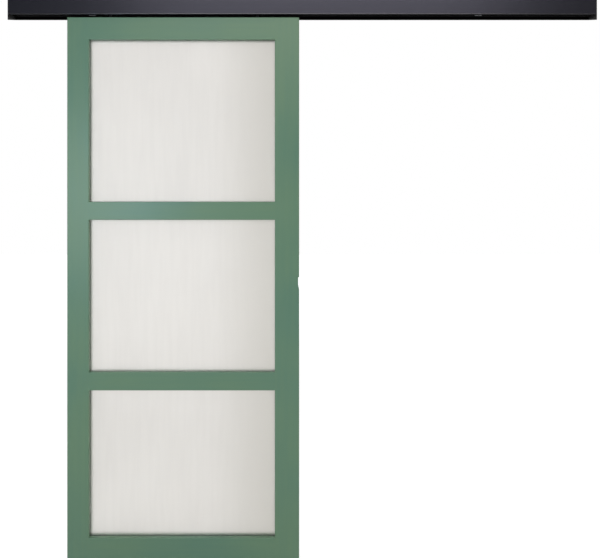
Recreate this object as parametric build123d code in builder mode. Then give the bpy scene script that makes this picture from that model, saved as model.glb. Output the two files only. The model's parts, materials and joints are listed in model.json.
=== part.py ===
from build123d import *
import os

# Sliding glazed door: a timber leaf with three frosted panes, hung from a covered track on the wall
# Frame: X to the right as seen from the room, Y into the wall, Z up, in millimetres
# Origin: on the wall face, in the middle of the track's line of fixing holes

# Leaf
leaf_width = 830.0
leaf_height = 2040.0
leaf_thickness = 40.0
rear_stile_width = 78.0
pull_stile_width = 87.0
top_rail_height = 80.0
mid_rail_height = 65.0
upper_light_height = 580.0
middle_light_height = 545.0
bottom_rail_height = 178.0
outer_arris = 3.0
light_arris = 2.0
leaf_wall_gap = 10.0
leaf_cover_gap = 6.0
leaf_floor_gap = 8.0
leaf_left_inset = 206.0

# Mortise and tenon joints
tenon_length = 45.0
tenon_thickness = 12.0
tenon_shoulder = 14.0
mortise_clearance = 0.1
mortise_end_gap = 0.8

# Glazing
rebate_width = 10.0
glazing_lip = 16.0
seal_thickness = 1.0
glass_thickness = 6.0
glass_cover = 8.0
bead_chamfer = 3.0
mitre_overrun = 1.0

# Groove for the floor guide
groove_width = 8.0
groove_depth = 18.0

# Finger pull in the leading edge
pull_height_above_foot = 1087.0
pull_notch_height = 46.0
pull_notch_depth = 3.6
pull_notch_ramp = 14.0
pull_flange_radius = 14.0
pull_flange_thickness = 1.2
pull_cup_radius = 12.0
pull_cup_depth = 12.0
pull_wall = 1.2
pull_cup_bevel = 3.0
pull_seat_clearance = 0.1

# Track
track_length = 2094.0
flange_thickness = 3.0
flange_above_holes = 20.0
channel_below_holes = 14.0
channel_wall = 2.5
channel_inner_width = 33.0
channel_inner_height = 25.0
channel_slot_width = 13.0
hook_shelf_depth = 11.0
hook_rib_thickness = 2.0
hook_rib_height = 8.0
wall_hole_radius = 3.25
wall_hole_end_inset = 97.0
wall_hole_pairs = 3
track_corner = 0.6

# Cover
cover_stand_off = 15.0
cover_thickness = 2.0
cover_below_channel = 6.0
cover_return = 12.0
cover_leg_height = 6.0
cover_leg_clearance = 0.5
cover_fin_above_return = 18.0
cover_corner = 1.2
flange_below_cover = 3.0

# End caps
cap_thickness = 3.0
cap_cheek_drop = 20.0
cap_plug_length = 16.0
cap_plug_clearance = 0.1
cap_edge = 1.0
cap_nose = 0.5

# Carriages and wheels
hanger_inset = 150.0
carriage_length = 62.0
carriage_width = 14.0
carriage_lift = 1.0
carriage_height = 18.0
carriage_corner = 5.0
axle_pitch = 38.0
axle_radius = 2.0
axle_head_radius = 3.2
axle_head_thickness = 1.0
axle_clearance = 0.05
wheel_radius = 10.0
wheel_width = 7.0
wheel_side_gap = 0.5
wheel_head_gap = 0.3
wheel_track_gap = 0.3
wheel_hub_radius = 4.6
wheel_rim = 2.4
wheel_dish = 1.2
wheel_edge = 0.8

# Hangers
plate_length = 90.0
plate_width = 26.0
plate_thickness = 3.0
plate_slot_width = 8.6
plate_recess_clearance = 0.2
plate_screw_pitch_x = 70.0
plate_screw_pitch_y = 15.0
bolt_radius = 4.0
bolt_clearance = 0.1
bolt_thread_in_carriage = 10.0
tapped_hole_end_gap = 1.0
hex_across_flats = 13.0
bolt_head_height = 5.3
nut_height = 5.0
head_pocket_width = 16.0
head_pocket_floor_gap = 2.0
head_pocket_run = 18.0
screw_radius = 2.0
screw_head_radius = 4.2
screw_length = 35.0
screw_clearance = 0.05
screw_sink_angle = 90.0

# Travel and stops
travel_left = 15.0
travel_right = 745.0
stop_length = 24.0
stop_clearance = 0.1
stop_nib_clearance = 0.3
stop_screw_radius = 3.0
stop_socket_flats = 3.0
stop_socket_depth = 3.0
buffer_radius = 5.0
buffer_length = 8.0
buffer_stem_radius = 2.5
buffer_stem_length = 7.0
buffer_bevel = 2.0
buffer_reach_gap = 0.5

# Floor guide
guide_base_length = 90.0
guide_base_width = 34.0
guide_base_thickness = 3.0
guide_blade_length = 50.0
guide_blade_thickness = 7.0
guide_blade_in_groove = 14.0
guide_hole_pitch = 70.0
guide_hole_radius = 2.25
guide_sink_radius = 4.4
guide_corner = 6.0
guide_lead_in = 2.0

# Heights, from the hole line down to the floor
channel_top = -channel_below_holes
channel_ceiling = channel_top - channel_wall
runway = channel_ceiling - channel_inner_height
channel_bottom = runway - channel_wall
cover_bottom = channel_bottom - cover_below_channel
flange_bottom = cover_bottom - flange_below_cover
hook_top = flange_above_holes + hook_rib_height
cover_top = hook_top + cover_thickness
leaf_top = cover_bottom - leaf_cover_gap
leaf_bottom = leaf_top - leaf_height
floor_level = leaf_bottom - leaf_floor_gap
leaf_mid_z = (leaf_top + leaf_bottom) / 2
axle_level = runway + wheel_track_gap + wheel_radius

# Depths, from the wall into the room
leaf_back = -leaf_wall_gap
leaf_front = leaf_back - leaf_thickness
run_line = (leaf_back + leaf_front) / 2
channel_front = run_line - channel_inner_width / 2 - channel_wall
channel_back = run_line + channel_inner_width / 2 + channel_wall
cover_front = leaf_front - cover_stand_off
lip_back = leaf_front + glazing_lip
bead_front = lip_back + glass_thickness + 2 * seal_thickness
rebate_depth = leaf_back - lip_back

# Places along the track
track_left = -track_length / 2
leaf_left = track_left + leaf_left_inset
leaf_right = leaf_left + leaf_width
leaf_mid_x = (leaf_left + leaf_right) / 2
light_left = leaf_left + rear_stile_width
light_right = leaf_right - pull_stile_width
light_mid_x = (light_left + light_right) / 2
light_width = light_right - light_left
hole_span = track_length - 2 * wall_hole_end_inset
hole_spacing = hole_span / (2 * wall_hole_pairs - 1)
hole_offsets = [hole_spacing * (pair + 0.5) for pair in range(wall_hole_pairs)]
hanger_left = leaf_left + hanger_inset
hanger_right = leaf_right - hanger_inset
guide_x = (leaf_right - travel_left + leaf_left + travel_right) / 2

# Lights, from the top of the leaf down, each as its upper and lower edge
upper_light_top = leaf_top - top_rail_height
upper_light_bottom = upper_light_top - upper_light_height
middle_light_top = upper_light_bottom - mid_rail_height
middle_light_bottom = middle_light_top - middle_light_height
lower_light_top = middle_light_bottom - mid_rail_height
lower_light_bottom = leaf_bottom + bottom_rail_height
lights = {
    "upper": (upper_light_top, upper_light_bottom),
    "middle": (middle_light_top, middle_light_bottom),
    "lower": (lower_light_top, lower_light_bottom),
}

os.makedirs("parts", exist_ok=True)


def save(piece, name):
    """Label a finished piece and write its STEP file."""
    piece.label = name
    export_step(piece, f"parts/{name}.step")


def facing_room(y):
    """Upright plane at a depth, its normal towards the room."""
    return Plane.XZ.offset(-y)


def across(x):
    """Upright plane across the track, its normal to the right."""
    return Plane.YZ.offset(x)


def level(z):
    """Level plane at a height."""
    return Plane.XY.offset(z)


def bar(y_low, y_high, z_low, z_high):
    """One straight wall of an extrusion's section, by its limits."""
    with Locations(((y_low + y_high) / 2, (z_low + z_high) / 2)):
        Rectangle(y_high - y_low, z_high - z_low)


def light_outline(top, bottom, margin=0.0, mode=Mode.ADD):
    """Rectangle of a light, grown on every side by a margin."""
    with Locations((light_mid_x, (top + bottom) / 2)):
        Rectangle(light_width + 2 * margin, top - bottom + 2 * margin, mode=mode)


# Track extrusion: wall flange, hollow web, C-channel open at the bottom, and the hook rib for the cover
profile_left = track_left + cap_thickness
profile_length = track_length - 2 * cap_thickness
slot_front = run_line - channel_slot_width / 2
slot_back = run_line + channel_slot_width / 2
with BuildPart() as track_rail:
    with BuildSketch(across(profile_left)) as track_section:
        bar(-flange_thickness, 0.0, flange_bottom, flange_above_holes)
        bar(channel_front, -flange_thickness, channel_ceiling, channel_top)
        bar(channel_front, channel_front + channel_wall, channel_bottom, channel_top)
        bar(channel_back - channel_wall, channel_back, channel_bottom, channel_top)
        bar(channel_front, slot_front, channel_bottom, runway)
        bar(slot_back, -flange_thickness, channel_bottom, runway)
        bar(-hook_shelf_depth, -flange_thickness, flange_above_holes - flange_thickness, flange_above_holes)
        bar(
            -hook_shelf_depth,
            -hook_shelf_depth + hook_rib_thickness,
            flange_above_holes - flange_thickness,
            hook_top,
        )
        flange_zone = -flange_thickness - track_corner
        fillet([corner for corner in track_section.vertices() if corner.X < flange_zone], track_corner)
    extrude(amount=profile_length)
    with BuildSketch(facing_room(0.0)):
        with Locations(*[(side * offset, 0.0) for offset in hole_offsets for side in (-1, 1)]):
            Circle(wall_hole_radius)
    extrude(amount=flange_thickness, mode=Mode.SUBTRACT)
save(track_rail.part, "track_rail")

# Cover: a bent front with a bottom return, a fin that leans on the channel and a leg behind the hook rib
leg_front = -hook_shelf_depth + hook_rib_thickness + cover_leg_clearance
leg_back = leg_front + cover_thickness
fin_low = cover_bottom + cover_fin_above_return
with BuildPart() as pelmet_cover:
    with BuildSketch(across(profile_left)) as cover_section:
        bar(cover_front, cover_front + cover_thickness, cover_bottom, cover_top)
        bar(cover_front, leg_back, hook_top, cover_top)
        bar(cover_front, cover_front + cover_return, cover_bottom, cover_bottom + cover_thickness)
        bar(leg_front, leg_back, hook_top - cover_leg_height, cover_top)
        bar(cover_front, channel_front, fin_low, fin_low + cover_thickness)
        fillet(cover_section.vertices().group_by(Axis.X)[0], cover_corner)
    extrude(amount=profile_length)
save(pelmet_cover.part, "pelmet_cover")

# End caps: a plate with a plug that fits the hollow web. Its foot slopes down from the flange to the front,
# below the cover, and hides the gap over the leaf from the side
plug_y = (channel_back - flange_thickness) / 2
plug_z = (channel_ceiling + runway) / 2
plug_width = -flange_thickness - channel_back - 2 * cap_plug_clearance
plug_height = channel_inner_height - 2 * cap_plug_clearance
profile_right = profile_left + profile_length
for side_name, inner_face, inward in (("left", profile_left, 1), ("right", profile_right, -1)):
    with BuildPart() as end_cap:
        with BuildSketch(across(inner_face)) as cap_section:
            with BuildLine():
                Polyline(
                    (cover_front, cover_top),
                    (cover_front, cover_bottom - cap_cheek_drop),
                    (0.0, flange_bottom),
                    (0.0, cover_top),
                    close=True,
                )
            make_face()
            fillet(cap_section.vertices().group_by(Axis.X)[0], cover_corner)
        extrude(amount=-inward * cap_thickness)
        outer_face = end_cap.faces().filter_by(Axis.X).sort_by(Axis.X)[-1 if inward < 0 else 0]
        chamfer(outer_face.edges().filter_by(GeomType.LINE), cap_edge)
        with BuildSketch(across(inner_face)):
            with Locations((plug_y, plug_z)):
                RectangleRounded(plug_width, plug_height, track_corner + cap_plug_clearance)
        extrude(amount=inward * cap_plug_length)
        nose = end_cap.faces().filter_by(Axis.X).sort_by(Axis.X)[0 if inward < 0 else -1]
        chamfer(nose.edges(), cap_nose)
    save(end_cap.part, f"end_cap_{side_name}")

# Leaf blank: the outline with its three lights, glazing rebates, arrises, floor groove and edge notch
pull_z = leaf_bottom + pull_height_above_foot
notch_floor = leaf_right - pull_notch_depth
notch_top = pull_z + pull_notch_height / 2
notch_foot = pull_z - pull_notch_height / 2
with BuildPart() as leaf_blank:
    with BuildSketch(facing_room(leaf_back)):
        with Locations((leaf_mid_x, leaf_mid_z)):
            Rectangle(leaf_width, leaf_height)
        for light_top, light_bottom in lights.values():
            light_outline(light_top, light_bottom, mode=Mode.SUBTRACT)
    extrude(amount=leaf_thickness)
    front_face = leaf_blank.faces().sort_by(Axis.Y)[0]
    light_edges = ShapeList([edge for wire in front_face.inner_wires() for edge in wire.edges()])
    back_face = leaf_blank.faces().sort_by(Axis.Y)[-1]
    outer_edges = ShapeList(front_face.outer_wire().edges() + back_face.outer_wire().edges())
    fillet(light_edges, light_arris)
    fillet(outer_edges, outer_arris)
    with BuildSketch(facing_room(leaf_back)):
        for light_top, light_bottom in lights.values():
            light_outline(light_top, light_bottom, margin=rebate_width)
    extrude(amount=rebate_depth, mode=Mode.SUBTRACT)
    with BuildSketch(level(leaf_bottom)):
        with Locations((leaf_mid_x, run_line)):
            Rectangle(leaf_width, groove_width)
    extrude(amount=groove_depth, mode=Mode.SUBTRACT)
    with BuildSketch(facing_room(leaf_back)):
        with BuildLine():
            Polyline(
                (leaf_right, notch_top),
                (notch_floor, notch_top),
                (notch_floor, notch_foot + pull_notch_ramp),
                (leaf_right, notch_foot),
                close=True,
            )
        make_face()
    extrude(amount=leaf_thickness, mode=Mode.SUBTRACT)


def leaf_member(x_low, x_high, z_low, z_high):
    """The stretch of the leaf blank inside a rectangle of the front view."""
    with BuildPart() as member:
        add(leaf_blank.part)
        with Locations(((x_low + x_high) / 2, run_line, (z_low + z_high) / 2)):
            Box(x_high - x_low, leaf_thickness, z_high - z_low, mode=Mode.INTERSECT)
    return member.part


# Rails, each as its lower and upper edge, with the level span of its tenons
rails = {
    "rail_top": (upper_light_top, leaf_top),
    "rail_mid_upper": (middle_light_top, upper_light_bottom),
    "rail_mid_lower": (lower_light_top, middle_light_bottom),
    "rail_bottom": (leaf_bottom, lower_light_bottom),
}
tenon_spans = {
    name: (
        low + (groove_depth + tenon_shoulder if name == "rail_bottom" else tenon_shoulder),
        high - tenon_shoulder,
    )
    for name, (low, high) in rails.items()
}


def tenon_box(shoulder_x, outward, span, grow=0.0, extra=0.0):
    """A tenon's block from its shoulder outwards, or its mortise when grown."""
    length = tenon_length + extra
    low, high = span
    with Locations((shoulder_x + outward * length / 2, run_line, (low + high) / 2)):
        Box(
            length,
            tenon_thickness + 2 * grow,
            high - low + 2 * grow,
            mode=Mode.SUBTRACT if grow else Mode.ADD,
        )


# Stiles, with a mortise for each rail; the right one holds the finger pull
with BuildPart() as stile_left:
    add(leaf_member(leaf_left, light_left, leaf_bottom, leaf_top))
    for tenon_span in tenon_spans.values():
        tenon_box(light_left, -1, tenon_span, grow=mortise_clearance, extra=mortise_end_gap)
save(stile_left.part, "stile_left")

pull_axis = Plane(origin=(notch_floor, run_line, pull_z), x_dir=(0, 1, 0), z_dir=(1, 0, 0))
with BuildPart() as stile_right:
    add(leaf_member(light_right, leaf_right, leaf_bottom, leaf_top))
    for tenon_span in tenon_spans.values():
        tenon_box(light_right, 1, tenon_span, grow=mortise_clearance, extra=mortise_end_gap)
    with BuildSketch(pull_axis):
        Circle(pull_flange_radius + pull_seat_clearance)
    extrude(amount=-pull_flange_thickness, mode=Mode.SUBTRACT)
    with BuildSketch(pull_axis):
        Circle(pull_cup_radius + pull_seat_clearance)
    extrude(amount=-pull_cup_depth - pull_seat_clearance, mode=Mode.SUBTRACT)
save(stile_right.part, "stile_right")

# Finger pull: a drawn cup with a flat flange, pressed into the right stile's edge
with BuildPart() as edge_pull:
    with BuildSketch(Plane(origin=(notch_floor, run_line, pull_z), x_dir=(1, 0, 0), z_dir=(0, -1, 0))):
        with BuildLine():
            Polyline(
                (0.0, pull_cup_radius - pull_wall),
                (0.0, pull_flange_radius),
                (-pull_flange_thickness, pull_flange_radius),
                (-pull_flange_thickness, pull_cup_radius),
                (-pull_cup_depth + pull_cup_bevel, pull_cup_radius),
                (-pull_cup_depth, pull_cup_radius - pull_cup_bevel),
                (-pull_cup_depth, 0.0),
                (-pull_cup_depth + pull_wall, 0.0),
                (-pull_cup_depth + pull_wall, pull_cup_radius - pull_cup_bevel),
                (-pull_cup_depth + pull_cup_bevel, pull_cup_radius - pull_wall),
                close=True,
            )
        make_face()
    revolve(axis=Axis((notch_floor, run_line, pull_z), (1, 0, 0)), revolution_arc=360)
save(edge_pull.part, "edge_pull")

# Rails, with a tenon at each end; the top one is also let in for the hangers
for rail_name in ("rail_mid_upper", "rail_mid_lower", "rail_bottom"):
    rail_low, rail_high = rails[rail_name]
    with BuildPart() as rail:
        add(leaf_member(light_left, light_right, rail_low, rail_high))
        tenon_box(light_left, -1, tenon_spans[rail_name])
        tenon_box(light_right, 1, tenon_spans[rail_name])
    save(rail.part, rail_name)

plate_under = leaf_top - plate_thickness
head_pocket_depth = plate_thickness + bolt_head_height + head_pocket_floor_gap
hangers = {"left": (hanger_left, -1), "right": (hanger_right, 1)}
screw_grid = [
    (x * plate_screw_pitch_x / 2, y * plate_screw_pitch_y / 2) for x in (-1, 1) for y in (-1, 1)
]
with BuildPart() as rail_top:
    add(leaf_member(light_left, light_right, *rails["rail_top"]))
    tenon_box(light_left, -1, tenon_spans["rail_top"])
    tenon_box(light_right, 1, tenon_spans["rail_top"])
    for hanger_x, outward in hangers.values():
        with BuildSketch(level(leaf_top)):
            with Locations((hanger_x, run_line)):
                Rectangle(plate_length + 2 * plate_recess_clearance, plate_width + 2 * plate_recess_clearance)
        extrude(amount=-plate_thickness, mode=Mode.SUBTRACT)
        pocket_near = hanger_x - outward * head_pocket_width / 2
        pocket_far = hanger_x + outward * (plate_length / 2 + head_pocket_run)
        with BuildSketch(level(leaf_top)):
            with Locations(((pocket_near + pocket_far) / 2, run_line)):
                Rectangle(abs(pocket_far - pocket_near), head_pocket_width)
        extrude(amount=-head_pocket_depth, mode=Mode.SUBTRACT)
        with BuildSketch(level(plate_under)):
            with Locations(*[(hanger_x + dx, run_line + dy) for dx, dy in screw_grid]):
                Circle(screw_radius + screw_clearance)
        extrude(amount=-screw_length, mode=Mode.SUBTRACT)
save(rail_top.part, "rail_top")

# Glass, its wrap-round seal and four mitred beads for each light
clip_reach = rebate_width + mitre_overrun
for light_name, (light_top, light_bottom) in lights.items():
    with BuildPart() as glass_pane:
        with BuildSketch(facing_room(bead_front - seal_thickness)):
            light_outline(light_top, light_bottom, margin=glass_cover)
        extrude(amount=glass_thickness)
    save(glass_pane.part, f"glass_{light_name}")

    with BuildPart() as glazing_seal:
        with BuildSketch(facing_room(bead_front)):
            light_outline(light_top, light_bottom, margin=rebate_width)
            light_outline(light_top, light_bottom, mode=Mode.SUBTRACT)
        extrude(amount=glass_thickness + 2 * seal_thickness)
        add(glass_pane.part, mode=Mode.SUBTRACT)
    save(glazing_seal.part, f"glazing_seal_{light_name}")

    with BuildPart() as bead_ring:
        with BuildSketch(facing_room(leaf_back)):
            light_outline(light_top, light_bottom, margin=rebate_width)
            light_outline(light_top, light_bottom, mode=Mode.SUBTRACT)
        extrude(amount=leaf_back - bead_front)
        ring_back = bead_ring.faces().sort_by(Axis.Y)[-1]
        chamfer(ring_back.inner_wires()[0].edges(), bead_chamfer)

    ring_left = light_left - rebate_width
    ring_right = light_right + rebate_width
    ring_top = light_top + rebate_width
    ring_bottom = light_bottom - rebate_width
    corners = {
        "top_left": (ring_left, ring_top, 1, -1),
        "top_right": (ring_right, ring_top, -1, -1),
        "bottom_left": (ring_left, ring_bottom, 1, 1),
        "bottom_right": (ring_right, ring_bottom, -1, 1),
    }
    bead_sides = {
        "top": ("top_left", "top_right"),
        "bottom": ("bottom_left", "bottom_right"),
        "left": ("top_left", "bottom_left"),
        "right": ("top_right", "bottom_right"),
    }
    for bead_side, (first, second) in bead_sides.items():
        first_x, first_z, first_dx, first_dz = corners[first]
        second_x, second_z, second_dx, second_dz = corners[second]
        with BuildPart() as bead:
            with BuildSketch(facing_room(leaf_back)):
                with BuildLine():
                    Polyline(
                        (first_x, first_z),
                        (second_x, second_z),
                        (second_x + second_dx * clip_reach, second_z + second_dz * clip_reach),
                        (first_x + first_dx * clip_reach, first_z + first_dz * clip_reach),
                        close=True,
                    )
                make_face()
            extrude(amount=leaf_back - bead_front)
            add(bead_ring.part, mode=Mode.INTERSECT)
        save(bead.part, f"bead_{light_name}_{bead_side}")

# Hangers: a plate let into the top rail, a bolt whose head hooks under it, and a lock nut
carriage_bottom = runway + carriage_lift
bolt_end = carriage_bottom + bolt_thread_in_carriage
for side_name, (hanger_x, outward) in hangers.items():
    with BuildPart() as hanger_plate:
        with BuildSketch(level(plate_under)):
            with Locations((hanger_x, run_line)):
                Rectangle(plate_length, plate_width)
            with Locations((hanger_x + outward * plate_length / 2, run_line)):
                SlotCenterToCenter(plate_length, plate_slot_width, mode=Mode.SUBTRACT)
        extrude(amount=plate_thickness)
        with Locations(*[Location((hanger_x + dx, run_line + dy, leaf_top)) for dx, dy in screw_grid]):
            CounterSinkHole(
                screw_radius + screw_clearance,
                screw_head_radius + screw_clearance,
                counter_sink_angle=screw_sink_angle,
            )
    save(hanger_plate.part, f"hanger_plate_{side_name}")

    with BuildPart() as hanger_bolt:
        with BuildSketch(level(plate_under)):
            with Locations((hanger_x, run_line)):
                RegularPolygon(hex_across_flats / 2, 6, major_radius=False)
        extrude(amount=-bolt_head_height)
        with BuildSketch(level(plate_under)):
            with Locations((hanger_x, run_line)):
                Circle(bolt_radius)
        extrude(amount=bolt_end - plate_under)
        chamfer(hanger_bolt.faces().sort_by(Axis.Z)[-1].edges(), 2 * bolt_clearance)
    save(hanger_bolt.part, f"hanger_bolt_{side_name}")

    with BuildPart() as hanger_nut:
        with BuildSketch(level(leaf_top)):
            with Locations((hanger_x, run_line)):
                RegularPolygon(hex_across_flats / 2, 6, major_radius=False)
                Circle(bolt_radius + bolt_clearance, mode=Mode.SUBTRACT)
        extrude(amount=nut_height)
    save(hanger_nut.part, f"hanger_nut_{side_name}")

# Countersunk screws of both hanger plates
screw_head_depth = screw_head_radius - screw_radius
with BuildPart() as hanger_screws:
    for hanger_x, outward in hangers.values():
        for dx, dy in screw_grid:
            screw_x = hanger_x + dx
            screw_y = run_line + dy
            with BuildSketch(Plane(origin=(screw_x, screw_y, leaf_top), x_dir=(1, 0, 0), z_dir=(0, -1, 0))):
                with BuildLine():
                    Polyline(
                        (0.0, 0.0),
                        (screw_head_radius, 0.0),
                        (screw_radius, -screw_head_depth),
                        (screw_radius, -screw_length + 2 * screw_radius),
                        (0.0, -screw_length),
                        close=True,
                    )
                make_face()
            revolve(axis=Axis((screw_x, screw_y, leaf_top), (0, 0, 1)), revolution_arc=360)
save(hanger_screws.part, "hanger_screws")

# Carriages: a block between the wheels, bored for two axles and tapped for the hanger bolt
wheel_inner = carriage_width / 2 + wheel_side_gap
wheel_outer = wheel_inner + wheel_width
for side_name, (hanger_x, outward) in hangers.items():
    axle_places = [hanger_x - axle_pitch / 2, hanger_x + axle_pitch / 2]
    with BuildPart() as carriage:
        with BuildSketch(facing_room(run_line + carriage_width / 2)):
            with Locations((hanger_x, carriage_bottom + carriage_height / 2)):
                RectangleRounded(carriage_length, carriage_height, carriage_corner)
            with Locations(*[(axle_x, axle_level) for axle_x in axle_places]):
                Circle(axle_radius + axle_clearance, mode=Mode.SUBTRACT)
        extrude(amount=carriage_width)
        with BuildSketch(level(carriage_bottom)):
            with Locations((hanger_x, run_line)):
                Circle(bolt_radius + bolt_clearance)
        extrude(amount=bolt_thread_in_carriage + tapped_hole_end_gap, mode=Mode.SUBTRACT)
    save(carriage.part, f"carriage_{side_name}")

    with BuildPart() as axles:
        head_face = wheel_outer + wheel_head_gap
        for axle_x in axle_places:
            with BuildSketch(Plane(origin=(axle_x, run_line, axle_level), x_dir=(0, 1, 0), z_dir=(1, 0, 0))):
                with BuildLine():
                    Polyline(
                        (-head_face - axle_head_thickness, 0.0),
                        (-head_face - axle_head_thickness, axle_head_radius),
                        (-head_face, axle_head_radius),
                        (-head_face, axle_radius),
                        (head_face, axle_radius),
                        (head_face, axle_head_radius),
                        (head_face + axle_head_thickness, axle_head_radius),
                        (head_face + axle_head_thickness, 0.0),
                        close=True,
                    )
                make_face()
            revolve(axis=Axis((axle_x, run_line, axle_level), (0, 1, 0)), revolution_arc=360)
    save(axles.part, f"axles_{side_name}")

    # Wheels: one on each side of the carriage at both axles, dished on its outer face
    for end_name, axle_x in zip(("rear", "lead"), axle_places):
        for face_name, towards in (("front", -1), ("back", 1)):
            centre_y = run_line + towards * (wheel_inner + wheel_width / 2)
            half = wheel_width / 2
            wheel_section = Plane(origin=(axle_x, centre_y, axle_level), x_dir=(0, 1, 0), z_dir=(1, 0, 0))
            with BuildPart() as wheel:
                with BuildSketch(wheel_section):
                    with BuildLine():
                        Polyline(
                            (-towards * half, axle_radius + axle_clearance),
                            (-towards * half, wheel_radius - wheel_edge),
                            (-towards * (half - wheel_edge), wheel_radius),
                            (towards * (half - wheel_edge), wheel_radius),
                            (towards * half, wheel_radius - wheel_edge),
                            (towards * half, wheel_radius - wheel_rim),
                            (towards * (half - wheel_dish), wheel_radius - wheel_rim),
                            (towards * (half - wheel_dish), wheel_hub_radius),
                            (towards * half, wheel_hub_radius),
                            (towards * half, axle_radius + axle_clearance),
                            close=True,
                        )
                    make_face()
                revolve(axis=Axis((axle_x, centre_y, axle_level), (0, 1, 0)), revolution_arc=360)
            save(wheel.part, f"wheel_{side_name}_{end_name}_{face_name}")

# Track stops: a block clamped in the channel at each end of the travel, with a rubber buffer
stop_width = channel_inner_width - 2 * stop_clearance
stop_height = channel_inner_height - stop_clearance
nib_width = channel_slot_width - 2 * stop_nib_clearance
stop_places = {
    "left": (hanger_left - travel_left - carriage_length / 2, 1),
    "right": (hanger_right + travel_right + carriage_length / 2, -1),
}
with BuildPart() as stop_screws:
    for side_name, (contact_x, facing) in stop_places.items():
        tip_x = contact_x - facing * buffer_reach_gap
        stop_face = tip_x - facing * buffer_length
        screw_x = stop_face - facing * stop_length / 2
        with BuildSketch(level(channel_bottom)):
            with Locations((screw_x, run_line)):
                Circle(stop_screw_radius)
        extrude(amount=channel_ceiling - channel_bottom)
        with BuildSketch(level(channel_bottom)):
            with Locations((screw_x, run_line)):
                RegularPolygon(stop_socket_flats / 2, 6, major_radius=False)
        extrude(amount=stop_socket_depth, mode=Mode.SUBTRACT)
save(stop_screws.part, "stop_screws")

for side_name, (contact_x, facing) in stop_places.items():
    tip_x = contact_x - facing * buffer_reach_gap
    stop_face = tip_x - facing * buffer_length
    screw_x = stop_face - facing * stop_length / 2
    with BuildPart() as track_stop:
        with BuildSketch(across(stop_face)):
            with Locations((run_line, runway + stop_height / 2)):
                RectangleRounded(stop_width, stop_height, track_corner + stop_clearance)
            with Locations((run_line, runway - channel_wall / 2)):
                Rectangle(nib_width, channel_wall)
        extrude(amount=-facing * stop_length)
        with BuildSketch(across(stop_face)):
            with Locations((run_line, axle_level)):
                Circle(buffer_stem_radius)
        extrude(amount=-facing * buffer_stem_length, mode=Mode.SUBTRACT)
        with BuildSketch(level(channel_bottom)):
            with Locations((screw_x, run_line)):
                Circle(stop_screw_radius + axle_clearance)
        extrude(amount=channel_ceiling - channel_bottom, mode=Mode.SUBTRACT)
    save(track_stop.part, f"track_stop_{side_name}")

    with BuildPart() as stop_buffer:
        with BuildSketch(across(stop_face)):
            with Locations((run_line, axle_level)):
                Circle(buffer_radius)
        extrude(amount=facing * buffer_length)
        chamfer(stop_buffer.faces().sort_by(Axis.X)[-1 if facing > 0 else 0].edges(), buffer_bevel)
        with BuildSketch(across(stop_face)):
            with Locations((run_line, axle_level)):
                Circle(buffer_stem_radius)
        extrude(amount=-facing * buffer_stem_length)
    save(stop_buffer.part, f"stop_buffer_{side_name}")

# Floor guide: a base with two countersunk holes and a blade that stands in the leaf's groove
blade_height = leaf_floor_gap + guide_blade_in_groove
with BuildPart() as floor_guide:
    with BuildSketch(level(floor_level)):
        with Locations((guide_x, run_line)):
            RectangleRounded(guide_base_length, guide_base_width, guide_corner)
    extrude(amount=guide_base_thickness)
    with BuildSketch(level(floor_level)):
        with Locations((guide_x, run_line)):
            Rectangle(guide_blade_length, guide_blade_thickness)
    extrude(amount=blade_height)
    blade_ends = floor_guide.faces().sort_by(Axis.Z)[-1].edges().filter_by(Axis.Y)
    chamfer(blade_ends, guide_lead_in)
    with Locations(
        Location((guide_x - guide_hole_pitch / 2, run_line, floor_level + guide_base_thickness)),
        Location((guide_x + guide_hole_pitch / 2, run_line, floor_level + guide_base_thickness)),
    ):
        CounterSinkHole(guide_hole_radius, guide_sink_radius, counter_sink_angle=screw_sink_angle)
save(floor_guide.part, "floor_guide")
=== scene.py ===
"""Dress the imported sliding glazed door: its finishes, small fittings, light and camera.

All lengths are in metres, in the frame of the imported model: X to the right as seen from
the room, Y into the wall and Z up, with the origin on the wall at the track's fixing line.
"""
import json
import logging
import math
from collections.abc import Callable
from dataclasses import dataclass, replace
from enum import Enum

import bmesh
import bpy
from mathutils import Matrix, Vector


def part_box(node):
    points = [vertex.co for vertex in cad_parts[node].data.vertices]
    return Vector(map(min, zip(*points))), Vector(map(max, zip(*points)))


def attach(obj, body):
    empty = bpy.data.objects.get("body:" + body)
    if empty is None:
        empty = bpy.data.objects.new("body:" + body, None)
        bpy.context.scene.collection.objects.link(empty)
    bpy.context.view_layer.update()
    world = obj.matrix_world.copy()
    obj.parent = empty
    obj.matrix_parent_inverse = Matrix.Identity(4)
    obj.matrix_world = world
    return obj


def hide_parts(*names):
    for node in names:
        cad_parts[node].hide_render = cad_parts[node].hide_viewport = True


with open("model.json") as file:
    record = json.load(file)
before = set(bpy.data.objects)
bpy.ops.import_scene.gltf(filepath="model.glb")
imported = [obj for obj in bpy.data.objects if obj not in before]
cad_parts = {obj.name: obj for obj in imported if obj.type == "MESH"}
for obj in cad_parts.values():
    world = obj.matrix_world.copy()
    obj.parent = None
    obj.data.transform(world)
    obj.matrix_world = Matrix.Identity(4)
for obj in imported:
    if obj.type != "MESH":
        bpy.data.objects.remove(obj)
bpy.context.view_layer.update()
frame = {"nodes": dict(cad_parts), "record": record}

log = logging.getLogger("sliding_door")

MM = 0.001

# The standard curve between display colours and linear light
SRGB_KNEE = 0.04045
SRGB_SLOPE = 12.92
SRGB_OFFSET = 0.055
SRGB_POWER = 2.4

# The middle part of a noise's range, which the patterns stretch to the whole
NOISE_LOW = 0.3
NOISE_HIGH = 0.7

# How far a face's normal follows an axis, from 0 to 1, to count as facing it
FACING = 0.9

Colour = tuple[float, float, float]
Socket = bpy.types.NodeSocket
Node = bpy.types.Node
Piece = bpy.types.Object


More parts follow.
